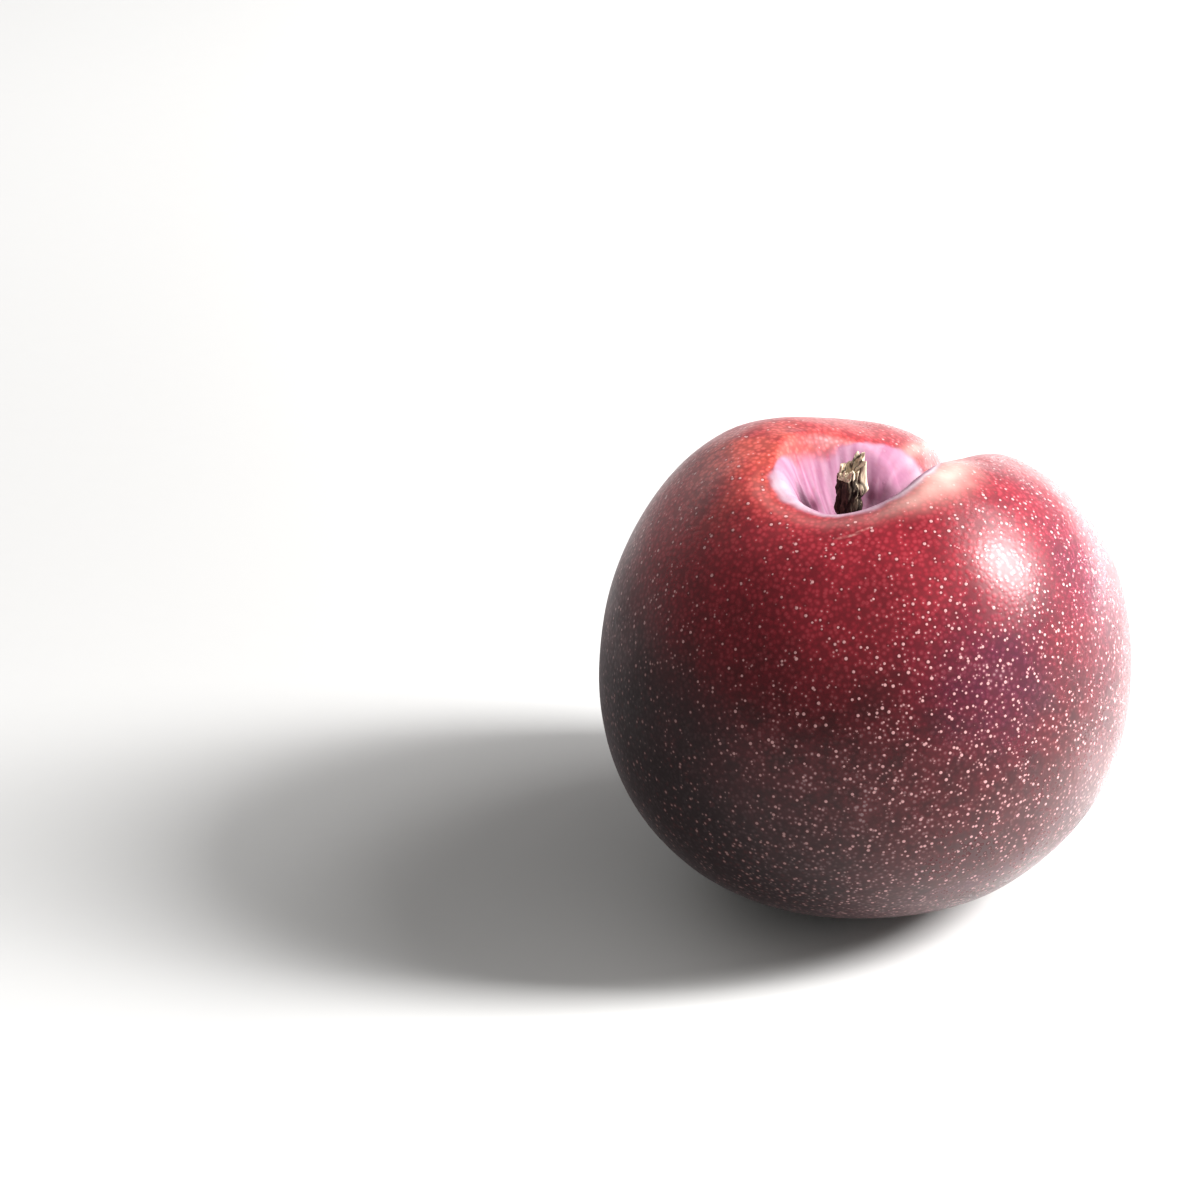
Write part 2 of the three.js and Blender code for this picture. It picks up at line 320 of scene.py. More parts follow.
def profile_curves():
    """The handles of the profile's four stretches, as (radius, height), from the blossom end up
    over the crest and down to the cavity's floor."""
    floor = CREST_HEIGHT - CAVITY_DEPTH
    dimple = [
        (0, DIMPLE_DEPTH),
        (BASE_RADIUS * DIMPLE_FULLNESS, DIMPLE_DEPTH),
        (BASE_RADIUS * (1 - DIMPLE_FULLNESS), 0),
        (BASE_RADIUS, 0),
    ]
    flank = [
        (BASE_RADIUS, 0),
        (lerp(BASE_RADIUS, WIDEST_RADIUS, FLANK_BASE_FULLNESS), 0),
        (WIDEST_RADIUS, WIDEST_HEIGHT * (1 - FLANK_SIDE_FULLNESS)),
        (WIDEST_RADIUS, WIDEST_HEIGHT),
    ]
    shoulder = [
        (WIDEST_RADIUS, WIDEST_HEIGHT),
        (WIDEST_RADIUS, lerp(WIDEST_HEIGHT, CREST_HEIGHT, SHOULDER_SIDE_FULLNESS)),
        (lerp(CREST_RADIUS, WIDEST_RADIUS, SHOULDER_TOP_FULLNESS), CREST_HEIGHT),
        (CREST_RADIUS, CREST_HEIGHT),
    ]
    cavity = [
        (CREST_RADIUS, CREST_HEIGHT),
        (CREST_RADIUS * (1 - CREST_INNER_FULLNESS), CREST_HEIGHT),
        (CREST_RADIUS * CAVITY_FLOOR_FULLNESS, floor),
        (0, floor),
    ]
    return np.array([dimple, flank, shoulder, cavity], float)


def profile(station):
    """Radius, height and outward direction in the profile's plane, at each station."""
    start = np.clip(np.floor(station), BLOSSOM_END, CAVITY_FLOOR - 1).astype(int)
    u = (station - start)[:, None]
    a, b, c, d = np.moveaxis(profile_curves()[start], 1, 0)
    point = (1 - u) ** 3 * a + 3 * (1 - u) ** 2 * u * b + 3 * (1 - u) * u ** 2 * c + u ** 3 * d
    tangent = (1 - u) ** 2 * (b - a) + 2 * (1 - u) * u * (c - b) + u ** 2 * (d - c)
    tangent /= np.maximum(np.linalg.norm(tangent, axis=1, keepdims=True), NEARLY_ZERO)
    return point[:, 0], point[:, 1], tangent[:, 1], -tangent[:, 0]


def suture_azimuth(station):
    leaving_rim = 1 - smoothstep(station, *SUTURE_SWING)
    return np.radians(SUTURE_RIM_AZIMUTH + SUTURE_TWIST * leaving_rim)


class Skin:
    """The fruit's skin before its fine relief, as a grid of rings by meridians, with the values
    that its relief and its colours depend on."""

    def __init__(self, station, meridians):
        turn = np.arange(meridians) / meridians * 2 * math.pi
        from_suture = np.where(turn > math.pi, turn - 2 * math.pi, turn)
        from_suture = (from_suture - AZIMUTH_CROWDING * np.sin(from_suture))[None, :]
        radius, height, outward_r, outward_z = (field[:, None] for field in profile(station))
        station = station[:, None]
        self.station = station
        self.radius = radius
        self.azimuth = suture_azimuth(station) + from_suture
        self.side = radius * from_suture
        self.across = np.abs(self.side)
        self.strength = np.interp(station, SUTURE_STATIONS, SUTURE_STRENGTHS)
        valley = VALLEY_DEPTH * bell(self.across, VALLEY_WIDTH)
        cleft = CLEFT_DEPTH * bell(self.across, CLEFT_WIDTH)
        depth = (valley + cleft) * self.strength
        turning = smoothstep(station, *SUTURE_TURNS_DOWN)
        down_r, down_z = lerp(outward_r, 0, turning), lerp(outward_z, 1, turning)
        size = np.hypot(down_r, down_z)
        grown = radius * (1 + OVALITY * np.cos(2 * from_suture)) - depth * down_r / size
        on_shoulder = smoothstep(height, WIDEST_HEIGHT, CREST_HEIGHT) * (station > WIDEST)
        in_cavity = smoothstep(CAVITY_FLOOR - station, 0, 1)
        drop = np.where(station > CREST, in_cavity, on_shoulder) * RIM_SADDLE
        drop = drop * np.cos(2 * (self.azimuth - math.radians(RIM_SADDLE_AZIMUTH)))
        offset = 1 - smoothstep(radius, CREST_RADIUS * CAVITY_REACH, WIDEST_RADIUS)
        offset = offset * (station > WIDEST)
        self.point = np.stack([
            CAVITY_OFFSET[0] * offset + grown * np.cos(self.azimuth),
            CAVITY_OFFSET[1] * offset + grown * np.sin(self.azimuth),
            height - depth * down_z / size - drop,
        ], axis=-1)
        self.normal = grid_normals(self.point)


def grid_normals(point):
    """Unit normals of a grid of rings by meridians that closes round its second axis, outwards."""
    along = np.gradient(point, axis=0)
    around = np.roll(point, -1, axis=1) - np.roll(point, 1, axis=1)
    normal = np.cross(around, along)
    return normal / np.maximum(np.linalg.norm(normal, axis=-1, keepdims=True), NEARLY_ZERO)


def noise_field(point, wavelength, seed):
    """Perlin noise from about -1 to 1 at each point, one bump about every wavelength."""
    shift = Vector([seed * step for step in SEED_STEPS])
    flat = point.reshape(-1, 3) / wavelength
    values = [noise.noise(Vector(p) + shift) for p in flat]
    return np.array(values).reshape(point.shape[:-1])


def in_scar(skin):
    return bell(skin.radius, SCAR_RADIUS) * (skin.station < BASE)


def skin_relief(skin):
    """How far each point of the skin stands out along its normal, besides the main form."""
    point, past_crest = skin.point, skin.station - CREST
    relief = sum(height * noise_field(point, length, seed)
                 for seed, (length, height) in enumerate(UNDULATIONS))
    near_rim = bell(past_crest, RIM_WANDER_REACH)
    relief = relief + RIM_WANDER * near_rim * noise_field(point, RIM_WANDER_LENGTH, seed=11)
    folded = smoothstep(past_crest, *FOLDS_PAST_CREST) * smoothstep(skin.radius, *FOLDS_PAST_AXIS)
    wander = FOLD_WANDER * noise_field(point, FOLD_WANDER_LENGTH, seed=12)
    strength = FOLD_EVENNESS + noise_field(point, FOLD_PATCH_LENGTH, seed=13)
    folds = np.cos(FOLD_COUNT * skin.azimuth + wander) * strength
    relief = relief + FOLD_DEPTH * folded * folds
    relief = relief - CREASE_DEPTH * skin.strength * bell(skin.across, CREASE_WIDTH)
    collar = bell(skin.radius - COLLAR_RADIUS, COLLAR_WIDTH) * (past_crest > 0)
    lobes = 1 + COLLAR_LOBE_SHARE * np.cos(COLLAR_LOBES * skin.azimuth)
    return relief + COLLAR_HEIGHT * collar * lobes + SCAR_HEIGHT * in_scar(skin)


def falloff(point, spots):
    """How strongly a point lies in any of the spots, each a centre, a reach and an amount."""
    total = 0
    for centre, reach, amount in spots:
        distance = np.linalg.norm(point - np.array(centre), axis=-1)
        total = np.maximum(total, amount * bell(distance, reach))
    return total


def cavity_fields(skin):
    """The part of skin_fields that belongs to the stem cavity, its lip and its mouth."""
    point, station = skin.point, skin.station
    degrees = (np.degrees(skin.azimuth) + 180) % 360 - 180
    at_back = band(degrees, *BACK_AZIMUTHS)
    at_front = band(degrees, *FRONT_AZIMUTHS)
    near_right = bell(degrees - NEAR_RIGHT, NEAR_RIGHT_REACH)

    edge = np.interp(degrees, *np.array(BLOOM_EDGE).T)
    wander = lerp(*EDGE_WANDER, at_back) * noise_field(point, EDGE_WANDER_LENGTH, seed=22)
    inside = station - edge - wander
    bloom = smoothstep(inside, 0, lerp(*EDGE_SOFTNESS, at_back))
    # A painted highlight: a thin white line just inside the bloom's edge at the front.
    white_line = bell(inside - WHITE_LINE_INSIDE, WHITE_LINE_WIDTH) * at_front
    white_line *= lerp(*WHITE_LINE_STRENGTHS, smoothstep(degrees, *WHITE_LINE_AZIMUTHS))

    # The painted highlight along the lip, broadest at the near right.
    lip = bell(inside + LIP_OUTSIDE, lerp(*LIP_WIDTHS, near_right)) * at_front
    lip *= 1 + LIP_PATCHINESS * noise_field(point, LIP_PATCH_LENGTH, seed=25)
    strip = bell(skin.side - STRIP_SIDE, STRIP_WIDTH) * band(station, *STRIP_STATIONS)
    strip *= 1 + STRIP_PATCHINESS * noise_field(point, STRIP_PATCH_LENGTH, seed=26)

    around = np.stack(np.broadcast_arrays(
        np.cos(skin.azimuth), np.sin(skin.azimuth), STREAK_STRETCH * station), -1)
    streak = STREAK_LEVEL + sum(strength * noise_field(around, length, seed)
                                for seed, (length, strength) in enumerate(STREAKS, 23))
    return {
        "bloom": bloom,
        "glints": np.maximum(white_line, falloff(point, CAVITY_GLINT_SPOTS) * bloom),
        "cavity_shadow": falloff(point, CAVITY_SHADOW_SPOTS),
        "streak": np.clip(streak, 0, 1),
        "lip": np.maximum(lerp(*LIP_STRENGTHS, near_right) * lip, STRIP_STRENGTH * strip),
        "mouth": falloff(point, MOUTH_SPOTS) * lerp(*MOUTH_STRENGTHS, at_back),
    }


def skin_fields(skin):
    """What the skin's material reads at each point, from 0 to about 1."""
    point = skin.point
    x, _, z = np.moveaxis(point, -1, 0)
    drift = noise_field(point, DRIFT_LENGTH, seed=21)
    density = lerp(*DOT_DENSITIES, smoothstep(x - DOT_SLOPE * z, *DOT_SIDES))
    return {
        "red": smoothstep(z + RED_DRIFT * drift, *RED_HEIGHTS),
        # painted shade, darker towards the side that gets little light
        "painted_shade": smoothstep(point @ np.array(PAINTED_SHADE_SIDE) + PAINTED_SHADE_DRIFT * drift, *PAINTED_SHADE_REACH),
        "low": smoothstep(z - LOW_SLOPE * x, *LOW_HEIGHTS),
        "blush_and_backlight": falloff(point, BLUSH_AND_BACKLIGHT_SPOTS),
        "purple": falloff(point, PURPLE_SPOTS),
        "wisps_and_reflection": falloff(point, BLOOM_WISPS_AND_REFLECTION),
        "dots": density * (1 - falloff(point, MOUTH_SPOTS)),
        "scar": in_scar(skin),
        **cavity_fields(skin),
    }


def grid_faces(rings, meridians):
    """Quads between the rings, and a fan at each pole. The points are the first pole, the rings in
    turn and the last pole."""
    faces = []
    for ring in range(rings - 1):
        for m in range(meridians):
            n = (m + 1) % meridians
            low, high = 1 + ring * meridians, 1 + (ring + 1) * meridians
            faces.append((low + m, low + n, high + n, high + m))
    last = 1 + rings * meridians
    top = last - meridians
    for m in range(meridians):
        n = (m + 1) % meridians
        faces.append((0, 1 + n, 1 + m))
        faces.append((last, top + m, top + n))
    return faces


def new_piece(name, points, faces, material):
    """A smooth-shaded mesh object from points in millimetres."""
    mesh = bpy.data.meshes.new(name)
    mesh.from_pydata((np.asarray(points) * MM).tolist(), [], faces)
    mesh.polygons.foreach_set("use_smooth", [True] * len(mesh.polygons))
    mesh.materials.append(material)
    piece = bpy.data.objects.new(name, mesh)
    bpy.context.scene.collection.objects.link(piece)
    return piece


def write_field(piece, name, values):
    layer = piece.data.attributes.new(name, "FLOAT", "POINT")
    layer.data.foreach_set("value", np.asarray(values, np.float32))


def resting_shift(point):
    """The move that centres the fruit's box on the Z axis and sinks it by its flat's height."""
    low, high = point.reshape(-1, 3).min(0), point.reshape(-1, 3).max(0)
    return np.array([-(low[0] + high[0]) / 2, -(low[1] + high[1]) / 2, -low[2] - FLAT_HEIGHT])


def without_repeats(grid):
    """The points of a grid of rings, where the first and the last ring have no radius and so are
    one point each."""
    rows = grid.reshape(grid.shape[0], grid.shape[1], -1)
    return np.concatenate([rows[0, :1], *rows[1:-1], rows[-1, :1]])


def make_fruit(material):
    parts = [stretch + np.arange(rings) / rings for stretch, rings in enumerate(STRETCH_RINGS)]
    station = np.concatenate([*parts, [CAVITY_FLOOR]])
    skin = Skin(station, MERIDIANS)
    shift = resting_shift(skin.point)
    skin.point = skin.point + shift
    point = skin.point + skin.normal * skin_relief(skin)[..., None]
    point[..., 2] = np.maximum(point[..., 2], 0)
    faces = grid_faces(len(station) - 2, MERIDIANS)
    piece = new_piece("fruit_with_skin", without_repeats(point), faces, material)
    for name, field in skin_fields(skin).items():
        write_field(piece, name, without_repeats(field + np.zeros(skin.azimuth.shape)).ravel())
    return piece, shift


# ---- The stem: heights are above the cavity's floor, azimuths in radians ----

STEM_ROOT_DEPTH = 1.4
STEM_TOP = 11.3
STEM_OFFSET = -0.85
STEM_BEND = 0.55
STEM_OUTLINE = (  # radius and height
    (1, -1.4),
    (1.2, -0.9),
    (1.2, 0.3),
    (1.28, 2.6),
    (1.5, 5.9),
    (1.82, 7.5),
    (1.62, 9.0),
    (1.5, 10.0),
)
STEM_RIM = STEM_OUTLINE[-1][1]
STEM_RIDGES = 5
STEM_RIDGE_SHARE = 0.07  # such shares are of the stem's radius
STEM_TWIST = 3
STEM_SIDES = 96
STEM_WALL_RINGS = 110
STEM_TOP_RINGS = 26
STEM_TOP_SHARES = (0.93, 0.04)  # the radii of the top's outermost and innermost rings
STEM_POLE_DEPTH = 0.1  # of its lowest point, below the lowest ring
BARK_HEIGHTS = (0, 2)  # the bark is smooth at the first and has its full relief at the second

# Noise over the stem, with heights counted by a share, so that it is drawn out along the stem.
NOISE_STRETCH = 0.28
FIBRE_LENGTH = 0.34
FIBRE_SHARE = 0.10
LUMP_LENGTH = 0.9
LUMP_SHARE = 0.12
CRACK_SHARE = 0.22  # a crack runs wherever the lumps' noise is near zero
CRACK_WIDTH = 0.35
DARK_CRACK_WIDTH = 0.13
DARK_CRACK_STRENGTH = 1.3

# A knob stands out on the side towards +X, and a band of the old joint runs round under it.
KNOB_SIZE = 0.45
KNOB_HEIGHT = 7.3
KNOB_REACH = 0.9
KNOB_AZIMUTH = -0.3
KNOB_WIDTH = 0.7
JOINT_SIZE = 0.10
JOINT_HEIGHT = 5.0
JOINT_REACH = 0.35

# The torn top: fibres broken at many heights, highest towards one side and hollow in the middle.
TORN_DEPTH = 1.6  # below the rim
TORN_RISE = 0.1
HIGH_AZIMUTH = 0.7  # the side on which it is highest
SLANT_LIFT = 0.9
LUMP_LIFT = 0.8
FIBRE_LIFT = 0.35
LIFT_AT_AXIS = 0.4  # as a share of the lift at the outside
HOLLOW_DEPTH = 0.9
HOLLOW_LENGTH = 0.5
HOLLOW_PATCHINESS = 0.5

# The bark is stripped off on one side, down to a ragged edge.
STRIPPED_AZIMUTH = 5.8
STRIPPED_WIDTH = 0.55
STRIPPED_HEIGHTS = (4.5, 8.5)
STRIPPED_RAGGEDNESS = 1.5
TORN_PALENESS = 1.1
FIBRE_PALENESS = 0.35
POLE_FIELD = 0.6  # both fields at the topmost point

# Splinters stand round the torn top.
SPLINTERS = 13
SPLINTER_SEED = 5
GOLDEN_ANGLE = 2.4
SPLINTER_ANGLE_SPREAD = (-0.3, 0.3)
SPLINTER_OUT = (0.4, 0.95)  # from the axis, as shares of the rim's radius
SPLINTER_DEPTH = (0.9, 1.5)  # of its base, below the rim
SPLINTER_DEPTH_SLANT = 0.3
SPLINTER_LENGTH = 1.2
SPLINTER_LENGTH_SLANT = 0.4
SPLINTER_LENGTH_SPREAD = (-0.3, 0.5)
SPLINTER_PALENESS = (0.7, 1.0)
SPLINTER_SIDES = 8
SPLINTER_RINGS = 9
SPLINTER_WIDTH = (0.22, 0.40)
SPLINTER_THICKNESS = (0.12, 0.18)
SPLINTER_LEAN = (0.05, 0.30)
SPLINTER_TAPER = 0.6
SPLINTER_END_SLANT = 0.9


def stem_radius(height):
    radii, heights = np.array(STEM_OUTLINE).T
    return np.interp(height, heights, radii)


def stem_axis(height):
    """The middle of the stem at a height above the cavity's floor, along X."""
    up = np.maximum(height, 0) / STEM_TOP
    return STEM_OFFSET + STEM_BEND * up ** 2


def stem_body():
    """The ridged bark with its cracks and knob, and the torn fibrous top: points, faces, and the
    fields that say where it is pale and where it is cracked."""
    turn = (np.arange(STEM_SIDES) / STEM_SIDES * 2 * math.pi)[None, :]
    wall_heights = np.linspace(-STEM_ROOT_DEPTH, STEM_RIM, STEM_WALL_RINGS)
    height = np.concatenate([wall_heights, np.full(STEM_TOP_RINGS, STEM_RIM)])[:, None]
    top_shares = np.linspace(*STEM_TOP_SHARES, STEM_TOP_RINGS)
    inward = np.concatenate([np.ones(STEM_WALL_RINGS), top_shares])[:, None]
    radius = stem_radius(height) * inward
    along = np.stack(np.broadcast_arrays(
        radius * np.cos(turn), radius * np.sin(turn), height * NOISE_STRETCH), -1)
    fibre = noise_field(along, FIBRE_LENGTH, seed=31)
    lump = noise_field(along, LUMP_LENGTH, seed=32)

    bark = smoothstep(height, *BARK_HEIGHTS)
    ridge = STEM_RIDGE_SHARE * np.cos(STEM_RIDGES * turn + STEM_TWIST * height / STEM_TOP)
    crack = CRACK_SHARE * np.maximum(0, CRACK_WIDTH - np.abs(lump)) / CRACK_WIDTH
    wall = radius * (1 + bark * (ridge + FIBRE_SHARE * fibre + LUMP_SHARE * lump - crack))
    from_knob = np.angle(np.exp(1j * (turn - KNOB_AZIMUTH)))
    knob = KNOB_SIZE * bell(height - KNOB_HEIGHT, KNOB_REACH) * bell(from_knob, KNOB_WIDTH)
    joint = JOINT_SIZE * bell(height - JOINT_HEIGHT, JOINT_REACH)
    wall = wall + inward * (knob + joint)

    torn = smoothstep(height, STEM_RIM - TORN_DEPTH, STEM_RIM)
    lift = SLANT_LIFT * np.cos(turn - HIGH_AZIMUTH) + LUMP_LIFT * lump + FIBRE_LIFT * fibre
    lift = TORN_RISE + lift * lerp(LIFT_AT_AXIS, 1, inward)
    filled = 1 - HOLLOW_PATCHINESS * noise_field(along, HOLLOW_LENGTH, seed=33)
    hollow = HOLLOW_DEPTH * (1 - inward) * filled
    grid = np.stack(np.broadcast_arrays(
        wall * np.cos(turn) + stem_axis(height),
        wall * np.sin(turn),
        height + torn * lift - hollow), -1)

    stripped = bell(turn - STRIPPED_AZIMUTH, STRIPPED_WIDTH)
    stripped = stripped * smoothstep(height + STRIPPED_RAGGEDNESS * lump, *STRIPPED_HEIGHTS)
    pale = np.maximum(torn * TORN_PALENESS, stripped)
    pale = np.clip(pale + FIBRE_PALENESS * np.maximum(fibre, 0) * bark, 0, 1)
    cracked = np.clip(DARK_CRACK_STRENGTH - np.abs(lump) / DARK_CRACK_WIDTH, 0, 1) * bark

    bottom = np.array([[STEM_OFFSET, 0, -STEM_ROOT_DEPTH - STEM_POLE_DEPTH]])
    top = grid[-1].mean(0)[None, :]
    points = np.concatenate([bottom, grid.reshape(-1, 3), top])
    fields = [np.concatenate([[0], field.ravel(), [POLE_FIELD]]) for field in (pale, cracked)]
    return points, grid_faces(len(grid), STEM_SIDES), *fields


def make_splinter(rng, angle, out, base, length):
    """A flattened sliver of wood with a slanting end, leaning towards +X, as one closed body."""
    width, thickness = rng.uniform(*SPLINTER_WIDTH), rng.uniform(*SPLINTER_THICKNESS)
    lean = rng.uniform(*SPLINTER_LEAN)
    share = np.linspace(0, 1, SPLINTER_RINGS)[:, None]
    turn = (np.arange(SPLINTER_SIDES) / SPLINTER_SIDES * 2 * math.pi)[None, :]
    taper = 1 - SPLINTER_TAPER * share ** 3
    across, through = width * taper * np.cos(turn), thickness * taper * np.sin(turn)
    slant = SPLINTER_END_SLANT * share * across * rng.choice((-1, 1))
    from_axis = out + through
    x = from_axis * np.cos(angle) - across * np.sin(angle) + stem_axis(base) + lean * share * length
    y = from_axis * np.sin(angle) + across * np.cos(angle)
    grid = np.stack(np.broadcast_arrays(x, y, base + share * length + slant), -1)
    ends = grid[[0, -1]].mean(1)
    points = np.concatenate([ends[:1], grid.reshape(-1, 3), ends[1:]])
    return points, grid_faces(SPLINTER_RINGS, SPLINTER_SIDES)


def make_stem(material, floor):
    """The woody stub. The floor is the point of the stem cavity that its axis starts from."""
    points, faces, pale, cracked = stem_body()
    rng = np.random.default_rng(SPLINTER_SEED)
    for count in range(SPLINTERS):
        angle = GOLDEN_ANGLE * count + rng.uniform(*SPLINTER_ANGLE_SPREAD)
        slant = math.cos(angle - HIGH_AZIMUTH)
        out = rng.uniform(*SPLINTER_OUT) * stem_radius(STEM_RIM)
        base = STEM_RIM - rng.uniform(*SPLINTER_DEPTH) + SPLINTER_DEPTH_SLANT * slant
        length = SPLINTER_LENGTH + SPLINTER_LENGTH_SLANT * slant
        length += rng.uniform(*SPLINTER_LENGTH_SPREAD)
        splinter, splinter_faces = make_splinter(rng, angle, out, base, length)
        faces += [tuple(i + len(points) for i in face) for face in splinter_faces]
        points = np.concatenate([points, splinter])
        paleness = np.full(len(splinter), rng.uniform(*SPLINTER_PALENESS))
        pale = np.concatenate([pale, paleness])
        cracked = np.concatenate([cracked, np.zeros(len(splinter))])
    piece = new_piece("torn_stem", points + floor, faces, material)
    write_field(piece, "torn", pale)
    write_field(piece, "cracked", cracked)
    return piece


# ---- Materials ----

class Nodes:
    """Shorthand for building a material's node tree."""

    def __init__(self, name):
        self.material = bpy.data.materials.new(name)
        self.material.use_nodes = True
        self.tree = self.material.node_tree
        self.shader = self.tree.nodes["Principled BSDF"]

    def add(self, kind, **settings):
        node = self.tree.nodes.new(kind)
        for key, value in settings.items():
            setattr(node, key, value)
        return node

    def feed(self, socket, value):
        if isinstance(value, bpy.types.NodeSocket):
            self.tree.links.new(value, socket)
        elif isinstance(value, tuple) and len(value) == 3 and socket.type == "RGBA":
            socket.default_value = (*value, 1)
        else:
            socket.default_value = value

    def feed_all(self, node, *values):
        """Sets or links the node's first sockets, in their order."""
        for socket, value in zip(node.inputs, values):
            self.feed(socket, value)

    def set(self, **inputs):
        """Sets or links the shader's own sockets. Underscores stand for spaces."""
        for key, value in inputs.items():
            self.feed(self.shader.inputs[key.replace("_", " ")], value)

    def math(self, operation, *values, clamp=False):
        node = self.add("ShaderNodeMath", operation=operation, use_clamp=clamp)
        self.feed_all(node, *values)
        return node.outputs[0]

    def times(self, first, second, clamp=False):
        return self.math("MULTIPLY", first, second, clamp=clamp)

    def times_plus(self, first, second, added, clamp=False):
        return self.math("MULTIPLY_ADD", first, second, added, clamp=clamp)

    def ramp(self, value, span, to=(0.0, 1.0)):
        """Maps one range smoothly to another, and stays level outside it."""
        node = self.add("ShaderNodeMapRange", interpolation_type="SMOOTHSTEP")
        self.feed_all(node, value, *span, *to)
        return node.outputs[0]

    def mix(self, share, first, second, strength=None):
        """The first colour with the second over it, by a share and perhaps a strength."""
        if strength is not None:
            share = self.times(share, strength)
        node = self.add("ShaderNodeMix", data_type="RGBA")
        factor, colour_a, colour_b = (node.inputs[i] for i in (0, 6, 7))
        self.feed(factor, share)
        self.feed(colour_a, first)
        self.feed(colour_b, second)
        return node.outputs[2]

    def field(self, name):
        return self.add("ShaderNodeAttribute", attribute_name=name).outputs["Fac"]

    def vector(self, operation, *values):
        node = self.add("ShaderNodeVectorMath", operation=operation)
        self.feed_all(node, *values)
        return node.outputs

    def millimetres(self, stretch=(1, 1, 1)):
        """The object's own coordinates, in millimetres, divided along each axis by the stretch."""
        place = self.add("ShaderNodeTexCoord").outputs["Object"]
        return self.vector("DIVIDE", place, tuple(MM * s for s in stretch))[0]

    def distance(self, where, place):
        return self.vector("DISTANCE", where, place)["Value"]

    def noise(self, where, wavelength, detail=3, roughness=0.5):
        node = self.add("ShaderNodeTexNoise")
        self.feed(node.inputs["Vector"], where)
        self.feed(node.inputs["Scale"], 1 / wavelength)
        self.feed(node.inputs["Detail"], detail)
        self.feed(node.inputs["Roughness"], roughness)
        return node.outputs["Fac"]

    def cells(self, where, spacing):
        """The distance to the nearest of scattered points, and two random numbers for each."""
        node = self.add("ShaderNodeTexVoronoi")
        self.feed(node.inputs["Vector"], where)
        self.feed(node.inputs["Scale"], 1 / spacing)
        random = self.add("ShaderNodeSeparateColor")
        self.feed(random.inputs[0], node.outputs["Color"])
        distance = self.times(node.outputs["Distance"], spacing)
        return distance, random.outputs[0], random.outputs[1]

    def dots(self, where, spacing, radius, spread, density):
        """Scattered round dots and the rings round them, from 0 to 1. The smallest dots are
        smaller than the radius by the spread. The density is the share of points with a dot."""
        distance, chance, size = self.cells(where, spacing)
        own_radius = self.ramp(size, (0, 1), (radius * (1 - spread), radius))
        from_middle = self.math("DIVIDE", distance, own_radius)
        shown = self.math("LESS_THAN", chance, density)
        return [self.times(self.ramp(from_middle, reach), shown)
                for reach in (DOT_REACH, RING_REACH)]

    def scratch(self, where, centre, turn, size):
        """A thin mark, from 1 in its middle to 0 at its ends and sides."""
        place = self.add("ShaderNodeMapping", vector_type="TEXTURE")
        self.feed_all(place, where, centre, (0, 0, turn), size)
        from_middle = self.vector("LENGTH", place.outputs[0])["Value"]
        return self.ramp(from_middle, SCRATCH_REACH)

    def bump(self, height, distance, strength=1.0, normal=None):
        """A bump whose full height is a distance in millimetres."""
        node = self.add("ShaderNodeBump")
        self.feed(node.inputs["Strength"], strength)
        self.feed(node.inputs["Distance"], distance * MM)
        self.feed(node.inputs["Height"], height)
        if normal:
            self.feed(node.inputs["Normal"], normal)
        return node.outputs[0]


